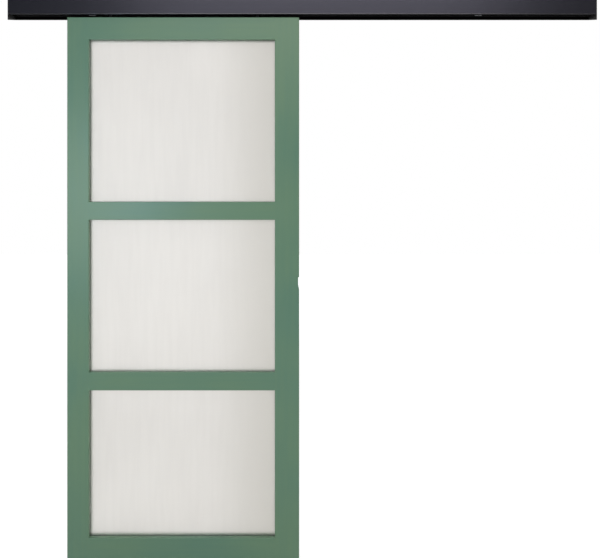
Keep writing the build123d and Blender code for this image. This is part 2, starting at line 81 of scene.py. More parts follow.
class Lay(Enum):
    """Which way the grain, brush marks or drawn lines of a finish run."""

    UPRIGHT = (60.0, 60.0, 4.0)
    LEVEL = (4.0, 60.0, 60.0)
    EVEN = (30.0, 30.0, 30.0)


def srgb(red: int, green: int, blue: int) -> Colour:
    """Turn a display colour into a linear one.

    Args:
        red: Red, from 0 to 255.
        green: Green, from 0 to 255.
        blue: Blue, from 0 to 255.

    Returns:
        The same colour in linear light.
    """
    def linear(value: int) -> float:
        """Linear value of one channel."""
        share = value / 255
        if share <= SRGB_KNEE:
            return share / SRGB_SLOPE
        return ((share + SRGB_OFFSET) / (1.0 + SRGB_OFFSET)) ** SRGB_POWER

    return linear(red), linear(green), linear(blue)


class Sheet:
    """A node tree that is being wired, with short calls to add and join nodes."""

    def __init__(self, tree: bpy.types.NodeTree) -> None:
        """Start on an empty tree.

        Args:
            tree: The tree of a material, world or node group.
        """
        self.tree = tree
        tree.nodes.clear()

    def add(self, kind: str, **settings: object) -> Node:
        """Add a node.

        Args:
            kind: The node's type name.
            settings: Its properties, such as operation or data_type.

        Returns:
            The new node.
        """
        node = self.tree.nodes.new(kind)
        for name, value in settings.items():
            setattr(node, name, value)
        return node

    def join(self, source: Socket, target: Socket) -> None:
        """Link one socket to another."""
        self.tree.links.new(source, target)

    def ramp(
        self,
        value: Socket,
        low: float,
        high: float,
        smooth: bool = True,
        to: tuple[float, float] = (0.0, 1.0),
    ) -> Socket:
        """Map a value from one span to another.

        Args:
            value: The value to map.
            low: Where its span starts.
            high: Where its span ends.
            smooth: Whether the ends are eased.
            to: What the start and the end become.

        Returns:
            The mapped value.
        """
        node = self.add("ShaderNodeMapRange", interpolation_type="SMOOTHSTEP" if smooth else "LINEAR")
        node.inputs["From Min"].default_value = low
        node.inputs["From Max"].default_value = high
        node.inputs["To Min"].default_value, node.inputs["To Max"].default_value = to
        self.join(value, node.inputs["Value"])
        return node.outputs["Result"]

    def math(self, operation: str, first: Socket, second: Socket | float) -> Socket:
        """Combine two values.

        Args:
            operation: The Math node's operation.
            first: The first value.
            second: A socket or a plain number.

        Returns:
            The result's socket.
        """
        node = self.add("ShaderNodeMath", operation=operation)
        self.join(first, node.inputs[0])
        if isinstance(second, (int, float)):
            node.inputs[1].default_value = second
        else:
            self.join(second, node.inputs[1])
        return node.outputs[0]

    def blend(self, share: Socket, low: Colour, high: Colour) -> Socket:
        """Mix two colours.

        Args:
            share: How much of the second colour shows.
            low: The colour at zero.
            high: The colour at one.

        Returns:
            The mixed colour.
        """
        node = self.add("ShaderNodeMix", data_type="RGBA")
        first, second = [socket for socket in node.inputs if socket.type == "RGBA"]
        first.default_value = (*low, 1.0)
        second.default_value = (*high, 1.0)
        self.join(share, node.inputs["Factor"])
        return next(socket for socket in node.outputs if socket.type == "RGBA")

    def over(self, share: Socket, under: Socket, colour: Colour) -> Socket:
        """Lay a plain colour over another.

        Args:
            share: How much of the plain colour shows.
            under: The colour beneath it.
            colour: The plain colour.

        Returns:
            The mixed colour.
        """
        mixed = self.blend(share, colour, colour)
        self.join(under, next(socket for socket in mixed.node.inputs if socket.type == "RGBA"))
        return mixed

    def towards(self, share: Socket, value: Socket, other: float) -> Socket:
        """Move a value towards a plain number.

        Args:
            share: How far it moves, from zero to one.
            value: The value.
            other: The plain number.

        Returns:
            The moved value.
        """
        node = self.add("ShaderNodeMix", data_type="FLOAT")
        self.join(share, node.inputs["Factor"])
        self.join(value, node.inputs["A"])
        node.inputs["B"].default_value = other
        return node.outputs[0]

    def split(self, place: Socket) -> Node:
        """Split a vector into its X, Y and Z."""
        node = self.add("ShaderNodeSeparateXYZ")
        self.join(place, node.inputs["Vector"])
        return node

    def rays(self) -> tuple[Socket, Socket]:
        """Tell apart the rays that meet a backdrop.

        Returns:
            Where a ray comes from the eye or through glass, and where it is a glossy reflection.
        """
        paths = self.add("ShaderNodeLightPath")
        straight = self.math("MAXIMUM", paths.outputs["Is Camera Ray"], paths.outputs["Is Transmission Ray"])
        return straight, paths.outputs["Is Glossy Ray"]


def new_group(
    name: str, inputs: dict[str, str], outputs: tuple[str, ...]
) -> tuple[Sheet, Node, Node]:
    """Start a shader node group.

    Args:
        name: The group's name.
        inputs: Socket name to socket type.
        outputs: Names of its value outputs.

    Returns:
        The group's sheet, its input node and its output node.
    """
    tree = bpy.data.node_groups.new(name, "ShaderNodeTree")
    for socket, kind in inputs.items():
        tree.interface.new_socket(name=socket, in_out="INPUT", socket_type=kind)
    for socket in outputs:
        tree.interface.new_socket(name=socket, in_out="OUTPUT", socket_type="NodeSocketFloat")
    sheet = Sheet(tree)
    return sheet, sheet.add("NodeGroupInput"), sheet.add("NodeGroupOutput")


class Patterns:
    """The node groups that several finishes share, each built once."""

    TONE_DETAIL = 2.0
    GRAIN_DETAIL = 4.0
    GRAIN_DISTORTION = 0.4
    SKIN_DETAIL = 1.5

    def __init__(self) -> None:
        """Build every group."""
        self.surface_tone = self.build_surface_tone()
        self.long_grain = self.build_long_grain()
        self.fine_skin = self.build_fine_skin()

    @staticmethod
    def noise(sheet: Sheet, place: Socket, scale: Socket, detail: float) -> Node:
        """Add a noise to a group.

        Args:
            sheet: The group's sheet.
            place: What its Vector reads.
            scale: What its Scale reads.
            detail: Its detail.

        Returns:
            The noise's node.
        """
        noise = sheet.add("ShaderNodeTexNoise")
        noise.inputs["Detail"].default_value = detail
        sheet.join(place, noise.inputs["Vector"])
        sheet.join(scale, noise.inputs["Scale"])
        return noise

    def build_surface_tone(self) -> bpy.types.NodeTree:
        """Build slow, cloudy changes of tone over a whole piece.

        Returns:
            The group, with Vector and Scale in and Tone out.
        """
        sheet, start, end = new_group(
            "surface_tone", {"Vector": "NodeSocketVector", "Scale": "NodeSocketFloat"}, ("Tone",)
        )
        noise = self.noise(sheet, start.outputs["Vector"], start.outputs["Scale"], self.TONE_DETAIL)
        sheet.join(sheet.ramp(noise.outputs["Fac"], NOISE_LOW, NOISE_HIGH), end.inputs["Tone"])
        return sheet.tree

    def build_long_grain(self) -> bpy.types.NodeTree:
        """Build streaks that run along one direction, as timber grain or drawn lines do.

        Returns:
            The group, with Vector, Stretch and Scale in, and Streaks and Height out.
        """
        sheet, start, end = new_group(
            "long_grain",
            {"Vector": "NodeSocketVector", "Stretch": "NodeSocketVector", "Scale": "NodeSocketFloat"},
            ("Streaks", "Height"),
        )
        stretch = sheet.add("ShaderNodeVectorMath", operation="MULTIPLY")
        sheet.join(start.outputs["Vector"], stretch.inputs[0])
        sheet.join(start.outputs["Stretch"], stretch.inputs[1])
        noise = self.noise(sheet, stretch.outputs["Vector"], start.outputs["Scale"], self.GRAIN_DETAIL)
        noise.inputs["Distortion"].default_value = self.GRAIN_DISTORTION
        sheet.join(sheet.ramp(noise.outputs["Fac"], NOISE_LOW, NOISE_HIGH), end.inputs["Streaks"])
        sheet.join(noise.outputs["Fac"], end.inputs["Height"])
        return sheet.tree

    def build_fine_skin(self) -> bpy.types.NodeTree:
        """Build the fine, even skin of sprayed paint, moulded plastic or etched glass.

        Returns:
            The group, with Vector and Scale in and Height out.
        """
        sheet, start, end = new_group(
            "fine_skin", {"Vector": "NodeSocketVector", "Scale": "NodeSocketFloat"}, ("Height",)
        )
        noise = self.noise(sheet, start.outputs["Vector"], start.outputs["Scale"], self.SKIN_DETAIL)
        sheet.join(noise.outputs["Fac"], end.inputs["Height"])
        return sheet.tree


@dataclass(frozen=True)
class Finish:
    """A surface finish: two close colours that its tone moves between, and its gloss and skin."""

    name: str
    dark: Colour
    light: Colour
    rough_low: float
    rough_high: float
    tone_scale: float = 2.5
    lay: Lay = Lay.EVEN
    streak_scale: float = 1.0
    streak_share: float = 0.3
    streak_height: float = 0.02
    skin_scale: float = 900.0
    skin_height: float = 0.02
    metallic: float = 0.0

    def material(self, patterns: Patterns) -> bpy.types.Material:
        """Build the material.

        Args:
            patterns: The shared node groups.

        Returns:
            The finished material.
        """
        made = bpy.data.materials.new(self.name)
        made.use_nodes = True
        sheet = Sheet(made.node_tree)
        place = sheet.add("ShaderNodeTexCoord").outputs["Object"]
        tone = self.use(sheet, patterns.surface_tone, place, Scale=self.tone_scale).outputs["Tone"]
        grain = self.use(sheet, patterns.long_grain, place, Scale=self.streak_scale, Stretch=self.lay.value)
        skin = self.use(sheet, patterns.fine_skin, place, Scale=self.skin_scale).outputs["Height"]
        streaks = sheet.math("MULTIPLY", grain.outputs["Streaks"], self.streak_share)
        share = sheet.math("ADD", sheet.math("MULTIPLY", tone, 1.0 - self.streak_share), streaks)
        shader = sheet.add("ShaderNodeBsdfPrincipled")
        sheet.join(self.colour(sheet, place, share), shader.inputs["Base Color"])
        sheet.join(self.roughness(sheet, place, share), shader.inputs["Roughness"])
        shader.inputs["Metallic"].default_value = self.metallic
        self.tune(shader)
        long_bump = self.bump(sheet, grain.outputs["Height"], self.streak_height, None)
        fine_bump = self.bump(sheet, skin, self.skin_height, long_bump)
        sheet.join(fine_bump, shader.inputs["Normal"])
        sheet.join(shader.outputs["BSDF"], sheet.add("ShaderNodeOutputMaterial").inputs["Surface"])
        return made

    @staticmethod
    def use(sheet: Sheet, group: bpy.types.NodeTree, place: Socket, **values: object) -> Node:
        """Place a shared group in a material.

        Args:
            sheet: The material's sheet.
            group: The shared group.
            place: What its Vector reads.
            values: Its other inputs.

        Returns:
            The group's node.
        """
        node = sheet.add("ShaderNodeGroup", node_tree=group)
        sheet.join(place, node.inputs["Vector"])
        for name, value in values.items():
            node.inputs[name].default_value = value
        return node

    @staticmethod
    def bump(sheet: Sheet, height: Socket, strength: float, under: Socket | None) -> Socket:
        """Add a bump node.

        Args:
            sheet: The material's sheet.
            height: The height it reads.
            strength: Its strength.
            under: The normal of a bump beneath it, if any.

        Returns:
            The bumped normal.
        """
        node = sheet.add("ShaderNodeBump")
        node.inputs["Strength"].default_value = strength
        node.inputs["Distance"].default_value = MM
        sheet.join(height, node.inputs["Height"])
        if under is not None:
            sheet.join(under, node.inputs["Normal"])
        return node.outputs["Normal"]

    def colour(self, sheet: Sheet, place: Socket, share: Socket) -> Socket:
        """Colour of the surface.

        Args:
            sheet: The material's sheet.
            place: The point on the object.
            share: The tone, from zero to one.

        Returns:
            The colour's socket.
        """
        return sheet.blend(share, self.dark, self.light)

    def roughness(self, sheet: Sheet, place: Socket, share: Socket) -> Socket:
        """Roughness of the surface.

        Args:
            sheet: The material's sheet.
            place: The point on the object.
            share: The tone, from zero to one.

        Returns:
            The roughness's socket.
        """
        return sheet.ramp(share, 0.0, 1.0, smooth=False, to=(self.rough_low, self.rough_high))

    def tune(self, shader: Node) -> None:
        """Set what only some finishes have on the shader's own sockets."""


@dataclass(frozen=True)
class FrostedGlass(Finish):
    """Acid-etched glass: pale and cloudy, with a painted shade that darkens it towards one side."""

    transmission: float = 0.92
    refraction: float = 1.5
    # Painted shade: a darker colour that the glass takes on towards the right, over the span below.
    painted_shade: Colour = srgb(215, 212, 206)
    painted_shade_from: float = -0.36
    painted_shade_to: float = -0.10

    def colour(self, sheet: Sheet, place: Socket, share: Socket) -> Socket:
        """Colour of the glass, darkened along X by a painted shade.

        Args:
            sheet: The material's sheet.
            place: The point on the object.
            share: The tone, from zero to one.

        Returns:
            The colour's socket.
        """
        # Painted shade: the glass darkens between these two places along X.
        side = sheet.ramp(sheet.split(place).outputs["X"], self.painted_shade_from, self.painted_shade_to)
        return sheet.over(side, sheet.blend(share, self.dark, self.light), self.painted_shade)

    def tune(self, shader: Node) -> None:
        """Let most of the light through."""
        shader.inputs["Transmission Weight"].default_value = self.transmission
        shader.inputs["IOR"].default_value = self.refraction


@dataclass(frozen=True)
class SatinBlack(Finish):
    """Black anodising: satin on the cover's front, a glossier line with a painted highlight at its foot, and
    dull elsewhere, darkened by a painted shade.
    """

    front: float = -63.5 * MM
    foot: float = -49.7 * MM
    highlight_top: float = -46.3 * MM
    # Painted highlight: a lighter colour along the foot of the cover's front, where the finish is also
    # glossier.
    painted_highlight: Colour = srgb(62, 62, 66)
    highlight_rough: float = 0.26
    # Painted shade: the undersides and everything behind the cover's front are darkened.
    dull_painted_shade: Colour = srgb(8, 8, 9)
    dull_rough: float = 0.9

    def zones(self, sheet: Sheet, place: Socket) -> tuple[Socket, Socket]:
        """Find the zones of the extrusions.

        Args:
            sheet: The material's sheet.
            place: The point on the object.

        Returns:
            Where the surface is dull, darkened by a painted shade, and where it is the glossier line with a
            painted highlight.
        """
        split = sheet.split(place)
        # Painted shade goes on what lies behind the front and below the foot.
        behind = sheet.math("GREATER_THAN", split.outputs["Y"], self.front)
        below = sheet.math("LESS_THAN", split.outputs["Z"], self.foot)
        # The painted highlight and a lower roughness go on the line above the foot.
        highlight_band = sheet.math("LESS_THAN", split.outputs["Z"], self.highlight_top)
        return sheet.math("MAXIMUM", behind, below), highlight_band

    def colour(self, sheet: Sheet, place: Socket, share: Socket) -> Socket:
        """Colour of the anodising in each zone, with a painted shade and a painted highlight.

        Args:
            sheet: The material's sheet.
            place: The point on the object.
            share: The tone, from zero to one.

        Returns:
            The colour's socket.
        """
        # Painted highlight on the line, and painted shade on the rest.
        dull_painted_shade, highlight_band = self.zones(sheet, place)
        satin = sheet.blend(share, self.dark, self.light)
        return sheet.over(dull_painted_shade, sheet.over(highlight_band, satin, self.painted_highlight), self.dull_painted_shade)

    def roughness(self, sheet: Sheet, place: Socket, share: Socket) -> Socket:
        """Roughness of the anodising in each zone.

        Args:
            sheet: The material's sheet.
            place: The point on the object.
            share: The tone, from zero to one.

        Returns:
            The roughness's socket.
        """
        dull_painted_shade, highlight_band = self.zones(sheet, place)
        satin = super().roughness(sheet, place, share)
        return sheet.towards(dull_painted_shade, sheet.towards(highlight_band, satin, self.highlight_rough), self.dull_rough)


PAINT_UPRIGHT = Finish(
    "leaf_paint_upright", srgb(91, 129, 107), srgb(104, 136, 106),
    tone_scale=2.2, rough_low=0.36, rough_high=0.42,
    lay=Lay.UPRIGHT, streak_share=0.25, streak_height=0.05, skin_scale=700.0, skin_height=0.03,
)
PAINT_LEVEL = replace(PAINT_UPRIGHT, name="leaf_paint_level", lay=Lay.LEVEL)
FROSTED = FrostedGlass(
    "frosted_glass", srgb(229, 226, 222), srgb(236, 233, 229), tone_scale=3.0, rough_low=0.5,
    rough_high=0.56, lay=Lay.UPRIGHT, streak_share=0.6, streak_height=0.005, skin_scale=1500.0,
    skin_height=0.05,
)
BLACK_COVER = SatinBlack(
    "black_anodised", srgb(50, 50, 57), srgb(54, 54, 61), tone_scale=1.2, rough_low=0.31, rough_high=0.35,
    lay=Lay.LEVEL, streak_scale=8.0, streak_share=0.5, streak_height=0.012, skin_scale=2200.0,
    skin_height=0.02, metallic=1.0,
)
BLACK_PLASTIC = Finish(
    "black_moulded", srgb(9, 9, 10), srgb(14, 14, 16), rough_low=0.48, rough_high=0.58,
    skin_scale=1200.0, skin_height=0.15,
)
SEAL = Finish(
    "seal_rubber", srgb(24, 24, 24), srgb(36, 36, 36), rough_low=0.6, rough_high=0.7, skin_scale=1500.0,
    skin_height=0.1,
)
ZINC = Finish(
    "zinc_plate", srgb(176, 178, 182), srgb(204, 206, 208), tone_scale=60.0, rough_low=0.26,
    rough_high=0.38, skin_scale=1800.0, skin_height=0.05, metallic=1.0,
)
BLACK_STEEL = Finish(
    "black_steel", srgb(52, 52, 55), srgb(70, 70, 73), tone_scale=60.0, rough_low=0.34,
    rough_high=0.46, skin_scale=1500.0, skin_height=0.06, metallic=1.0,
)
DARK_CAST = Finish(
    "dark_casting", srgb(88, 90, 94), srgb(112, 114, 118), tone_scale=80.0, rough_low=0.44,
    rough_high=0.56, skin_scale=900.0, skin_height=0.2, metallic=1.0,
)
BRUSHED = Finish(
    "brushed_pull", srgb(140, 142, 140), srgb(172, 174, 172), tone_scale=40.0, rough_low=0.28,
    rough_high=0.4, lay=Lay.UPRIGHT, streak_scale=20.0, streak_share=0.7, streak_height=0.08, metallic=1.0,
)
NYLON = Finish(
    "wheel_nylon", srgb(214, 210, 198), srgb(226, 223, 213), tone_scale=50.0, rough_low=0.34,
    rough_high=0.42, skin_scale=1200.0, skin_height=0.05,
)


class Wardrobe:
    """Gives every CAD node its finish."""

    BY_SLOT: dict[str, Finish] = {
        "frosted_glass": FROSTED,
        "seal_rubber": SEAL,
        "pull_metal": BRUSHED,
        "zinc_steel": ZINC,
        "black_steel": BLACK_STEEL,
        "carriage_metal": DARK_CAST,
        "stop_metal": DARK_CAST,
        "black_aluminium": BLACK_COVER,
        "black_plastic": BLACK_PLASTIC,
        "guide_plastic": BLACK_PLASTIC,
        "wheel_plastic": NYLON,
        "buffer_rubber": SEAL,
    }

    def __init__(self, patterns: Patterns) -> None:
        """Keep the shared groups, and start with no material made.

        Args:
            patterns: The shared node groups.
        """
        self.patterns = patterns
        self.made: dict[str, bpy.types.Material] = {}

    def material(self, finish: Finish) -> bpy.types.Material:
        """The finish's material, built at its first use.

        Args:
            finish: The finish wanted.

        Returns:
            Its material.
        """
        if finish.name not in self.made:
            self.made[finish.name] = finish.material(self.patterns)
        return self.made[finish.name]

    def finish_of(self, node: str, slot: str) -> Finish:
        """Choose the finish of a node.

        Args:
            node: The node's name.
            slot: Its material slot in the record.

        Returns:
            The finish, whose lay follows the member's length.
        """
        if slot != "leaf_paint":
            return self.BY_SLOT[slot]
        upright = node.startswith("stile") or node.endswith(("_left", "_right"))
        return PAINT_UPRIGHT if upright else PAINT_LEVEL

    def dress(self) -> None:
        """Give each CAD node its material."""
        parts = frame["record"]["subparts"]
        for part in parts:
            finish = self.finish_of(part["node"], part["material_slot"])
            mesh = frame["nodes"][part["node"]].data
            mesh.materials.clear()
            mesh.materials.append(self.material(finish))
        log.info("dressed %d nodes in %d finishes", len(parts), len(self.made))


class Bench:
    """Shapes one piece at a time with Blender's own modelling operators."""

    @staticmethod
    def clear() -> None:
        """Leave no object selected."""
        bpy.ops.object.select_all(action="DESELECT")

    @staticmethod
    def alone(piece: Piece) -> None:
        """Select one object only, and make it active."""
        Bench.clear()
        piece.select_set(True)
        bpy.context.view_layer.objects.active = piece

    @staticmethod
    def take(name: str) -> Piece:
        """Name the primitive that was just added, and put its place into its mesh.

        Args:
            name: The piece's name.

        Returns:
            The piece.
        """
        piece = bpy.context.object
        piece.name = name
        Bench.alone(piece)
        bpy.ops.object.transform_apply(location=True, rotation=True, scale=True)
        return piece

    @staticmethod
    def rod(name: str, sides: int, radius: float, ends: tuple[Vector, Vector]) -> Piece:
        """Add a cylinder between two points.

        Args:
            name: The piece's name.
            sides: How many sides it has.
            radius: Its radius.
            ends: The middles of its two ends.

        Returns:
            The cylinder.
        """
        Bench.clear()
        first, second = ends
        turn = (second - first).to_track_quat("Z", "Y").to_euler()
        bpy.ops.mesh.primitive_cylinder_add(
            vertices=sides,
            radius=radius,
            depth=(second - first).length,
            location=(first + second) / 2,
            rotation=turn,
        )
        return Bench.take(name)

    @staticmethod
    def pick_faces(piece: Piece, test: Callable[[Vector, Vector], bool]) -> None:
        """Open the piece in edit mode with only some faces selected.

        Args:
            piece: The piece.
            test: Says from a face's middle and normal whether it is selected.
        """
        Bench.open(piece, "FACE")
        shape = bmesh.from_edit_mesh(piece.data)
        for face in shape.faces:
            face.select_set(test(face.calc_center_median(), face.normal))
        bmesh.update_edit_mesh(piece.data)

    @staticmethod
    def pick_edges(piece: Piece, test: Callable[[Vector, Vector], bool]) -> None:
        """Open the piece in edit mode with only some edges selected.

        Args:
            piece: The piece.
            test: Says from an edge's two ends whether it is selected.
        """
        Bench.open(piece, "EDGE")
        shape = bmesh.from_edit_mesh(piece.data)
        for edge in shape.edges:
            edge.select_set(test(edge.verts[0].co, edge.verts[1].co))
        bmesh.update_edit_mesh(piece.data)

    @staticmethod
    def open(piece: Piece, kind: str) -> None:
        """Enter edit mode with nothing selected.

        Args:
            piece: The piece.
            kind: What is going to be selected, FACE or EDGE.
        """
        if bpy.context.mode != "EDIT_MESH":
            Bench.alone(piece)
            bpy.ops.object.mode_set(mode="EDIT")
        bpy.ops.mesh.select_mode(type=kind)
        bpy.ops.mesh.select_all(action="DESELECT")

    @staticmethod
    def close() -> None:
        """Leave edit mode."""
        bpy.ops.object.mode_set(mode="OBJECT")

    @staticmethod
    def draw_out(shift: tuple[float, float, float]) -> None:
        """Extrude the selected faces along a vector."""
        bpy.ops.mesh.extrude_region_move(TRANSFORM_OT_translate={"value": shift})

    @staticmethod
    def grooves(rod: Piece, pitch: float, root: float) -> None:
        """Turn an upright plain rod into a threaded one, with a groove at every pitch.

        Args:
            rod: The rod.
            pitch: The distance from one crest to the next.
            root: The share of its radius that is left in the grooves.
        """
        heights = [corner.co.z for corner in rod.data.vertices]
        low, high = min(heights), max(heights)
        turns = round((high - low) / pitch)
        middle = sum((corner.co for corner in rod.data.vertices), Vector()) / len(rod.data.vertices)
        Bench.pick_edges(rod, lambda a, b: abs(a.z - b.z) > pitch)
        bpy.ops.mesh.subdivide(number_cuts=2 * turns - 1)
        step = (high - low) / (2 * turns)
        Bench.pick_edges(
            rod,
            lambda a, b: abs(a.z - b.z) < step / 4 and round((a.z - low) / step) % 2 == 1,
        )
        bpy.ops.transform.resize(value=(root, root, 1.0), center_override=middle)
        Bench.close()

    @staticmethod
    def again(piece: Piece, name: str, shift: Vector) -> Piece:
        """Copy a piece, with a mesh of its own.

        Args:
            piece: The piece.
            name: The copy's name.
            shift: How far the copy stands from the piece.

        Returns:
            The copy.
        """
        copy = piece.copy()
        copy.data = piece.data.copy()
        copy.name = name
        bpy.context.scene.collection.objects.link(copy)
        copy.data.transform(Matrix.Translation(shift))
        return copy

    @staticmethod
    def joined(pieces: list[Piece], name: str) -> Piece:
        """Join several pieces into one object.

        Args:
            pieces: The pieces.
            name: The object's name.

        Returns:
            The object.
        """
        Bench.clear()
        for piece in pieces:
            piece.select_set(True)
        bpy.context.view_layer.objects.active = pieces[0]
        bpy.ops.object.join()
        pieces[0].name = name
        return pieces[0]


def corners_of(node: str) -> tuple[Vector, Vector]:
    """Lowest and highest corner of a CAD node, as vectors."""
    low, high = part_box(node)
    return Vector(low), Vector(high)


@dataclass
class Fittings:
    """What the small sub-assemblies share: the wardrobe, and the last steps of every new piece."""

    wardrobe: Wardrobe
    weld: float = 0.01 * MM
    crease_degrees: float = 35.0

    def deliver(self, piece: Piece, body: str, slot: str, *nodes: str) -> Piece:
        """Finish a new piece: normals, shading, the material of its slot, and its body.

        Args:
            piece: The piece, whose mesh is ready.
            body: The body that it moves with.
            slot: Its material slot in the record.
            nodes: The CAD nodes that it stands for, if any.

        Returns:
            The piece.
        """
        Bench.open(piece, "FACE")
        bpy.ops.mesh.select_all(action="SELECT")
        bpy.ops.mesh.remove_doubles(threshold=self.weld)
        bpy.ops.mesh.normals_make_consistent(inside=False)
        Bench.close()
        Bench.alone(piece)
        bpy.ops.object.shade_smooth_by_angle(angle=math.radians(self.crease_degrees))
        piece.data.materials.clear()
        piece.data.materials.append(self.wardrobe.material(self.wardrobe.BY_SLOT[slot]))
        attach(piece, body)
        if nodes:
            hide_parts(*nodes)
        log.info("%s: %d faces, on %s", piece.name, len(piece.data.polygons), body)
        return piece


@dataclass
class FingerPull(Fittings):
    """The drawn cup in the leaf's leading edge, with a flat flange and rolled corners."""

    flange_thickness: float = 1.2 * MM
    cup_radius: float = 12.0 * MM
    wall: float = 1.2 * MM
    floor_corner: float = 3.0 * MM
    mouth_corner: float = 0.7 * MM
    flange_edge: float = 0.35 * MM
    sides: int = 72
    floor_steps: int = 6
    mouth_steps: int = 4
    edge_steps: int = 2
    near: float = 0.05 * MM

    def build(self) -> None:
        """Model the cup from its flange: draw its mouth and its back in, and round the corners."""
        low, high = corners_of("edge_pull")
        middle = (low + high) / 2
        flange_radius = (high.y - low.y) / 2
        inner_radius = self.cup_radius - self.wall
        depth = high.x - low.x
        face = Vector((high.x, middle.y, middle.z))
        seat = face - Vector((self.flange_thickness, 0, 0))
        cup = Bench.rod("finger_pull", self.sides, flange_radius, (seat, face))
        Bench.pick_faces(cup, lambda place, normal: normal.x > FACING)
        bpy.ops.mesh.inset(thickness=flange_radius - inner_radius)
        self.draw_in(depth - self.wall)
        Bench.pick_faces(cup, lambda place, normal: normal.x < -FACING)
        bpy.ops.mesh.inset(thickness=flange_radius - self.cup_radius)
        self.draw_in(depth - self.flange_thickness)
        for x, radius, size, steps in (
            (low.x + self.wall, inner_radius, self.floor_corner - self.wall, self.floor_steps),
            (low.x, self.cup_radius, self.floor_corner, self.floor_steps),
            (high.x, inner_radius, self.mouth_corner, self.mouth_steps),
            (high.x, flange_radius, self.flange_edge, self.edge_steps),
        ):
            self.roll(cup, Vector((x, middle.y, middle.z)), radius, size, steps)
        Bench.close()
        self.deliver(cup, "leaf", "pull_metal", "edge_pull")

    @staticmethod
    def draw_in(reach: float) -> None:
        """Draw the selected faces into the stile."""
        Bench.draw_out((-reach, 0.0, 0.0))

    def roll(self, cup: Piece, middle: Vector, radius: float, size: float, steps: int) -> None:
        """Round the edge that runs in a circle.

        Args:
            cup: The cup.
            middle: The circle's middle.
            radius: Its radius.
            size: How much of each side the rounding takes.
            steps: Its segments.
        """
        def on_circle(point: Vector) -> bool:
            """Whether a point lies on the circle."""
            out = math.hypot(point.y - middle.y, point.z - middle.z)
            return abs(point.x - middle.x) < self.near and abs(out - radius) < self.near

        Bench.pick_edges(cup, lambda a, b: on_circle(a) and on_circle(b))
        bpy.ops.mesh.bevel(offset=size, segments=steps, affect="EDGES")


@dataclass
class HangerBolts(Fittings):
    """The threaded bolts that hang the leaf on its carriages, each with a hexagon head."""

    head_height: float = 5.3 * MM
    across_flats: float = 13.0 * MM
    shank_radius: float = 4.0 * MM
    pitch: float = 1.25 * MM
    thread_root: float = 0.86
    head_sides: int = 6
    head_chamfer: float = 0.6 * MM
    chamfer_steps: int = 2
    sides: int = 32

    def build(self) -> None:
        """Model both bolts."""
        for side in ("left", "right"):
            low, high = corners_of(f"hanger_bolt_{side}")
            foot = Vector(((low.x + high.x) / 2, (low.y + high.y) / 2, low.z))
            neck = foot + Vector((0, 0, self.head_height))
            tip = Vector((foot.x, foot.y, high.z))
            shank = Bench.rod(f"bolt_shank_{side}", self.sides, self.shank_radius, (neck, tip))
            Bench.grooves(shank, self.pitch, self.thread_root)
            head = self.head(side, foot, along_x=high.x - low.x > high.y - low.y)
            bolt = Bench.joined([head, shank], f"threaded_bolt_{side}")
            self.deliver(bolt, "leaf", "black_steel", f"hanger_bolt_{side}")

    def head(self, side: str, foot: Vector, along_x: bool) -> Piece:
        """Model a hexagon head.

        Args:
            side: The bolt's side.
            foot: The middle of the head's lower face.
            along_x: Whether two corners lie along X.

        Returns:
            The head.
        """
        Bench.clear()
        bpy.ops.mesh.primitive_cylinder_add(
            vertices=self.head_sides,
            radius=self.across_flats / 2 / math.cos(math.pi / self.head_sides),
            depth=self.head_height,
            location=foot + Vector((0, 0, self.head_height / 2)),
            rotation=(0, 0, math.pi / 2 if along_x else 0.0),
        )
        head = Bench.take(f"bolt_head_{side}")
        near = self.head_height / 4
        Bench.pick_edges(head, lambda a, b: max(a.z, b.z) < foot.z + near)
        bpy.ops.mesh.bevel(offset=self.head_chamfer, segments=self.chamfer_steps, affect="EDGES")
        Bench.close()
        return head


@dataclass
class HangerScrews(Fittings):
    """The wood screws of both hanger plates, without heads: threaded shanks with points."""

    pitch_x: float = 70.0 * MM
    pitch_y: float = 15.0 * MM
    head_depth: float = 2.2 * MM
    shank_radius: float = 2.0 * MM
    length: float = 35.0 * MM
    tip_length: float = 4.0 * MM
    thread_pitch: float = 1.8 * MM
    thread_root: float = 0.74
    sides: int = 12

    def build(self) -> None:
        """Model one screw, and copy it to the eight holes."""
        places = []
        for side in ("left", "right"):
            low, high = corners_of(f"hanger_plate_{side}")
            middle = Vector(((low.x + high.x) / 2, (low.y + high.y) / 2, high.z))
            for x in (-self.pitch_x / 2, self.pitch_x / 2):
                for y in (-self.pitch_y / 2, self.pitch_y / 2):
                    places.append(middle + Vector((x, y, 0)))
        first = self.screw(places[0])
        screws = [first]
        for number, place in enumerate(places[1:], start=2):
            screws.append(Bench.again(first, f"screw_{number}", place - places[0]))
        self.deliver(Bench.joined(screws, "plate_screws"), "leaf", "zinc_steel", "hanger_screws")

    def screw(self, top: Vector) -> Piece:
        """Model a screw from its neck down.

        Args:
            top: The middle of its place in the plate's upper face.

        Returns:
            The screw.
        """
        down = Vector((0, 0, -1))
        neck = top + down * self.head_depth
        tip_start = top + down * (self.length - self.tip_length)
        shank = Bench.rod("screw_shank", self.sides, self.shank_radius, (tip_start, neck))
        Bench.grooves(shank, self.thread_pitch, self.thread_root)
        Bench.clear()
        bpy.ops.mesh.primitive_cone_add(
            vertices=self.sides,
            radius1=0.0,
            radius2=self.shank_radius * self.thread_root,
            depth=self.tip_length,
            location=tip_start + down * self.tip_length / 2,
        )
        return Bench.joined([shank, Bench.take("screw_tip")], "screw_1")


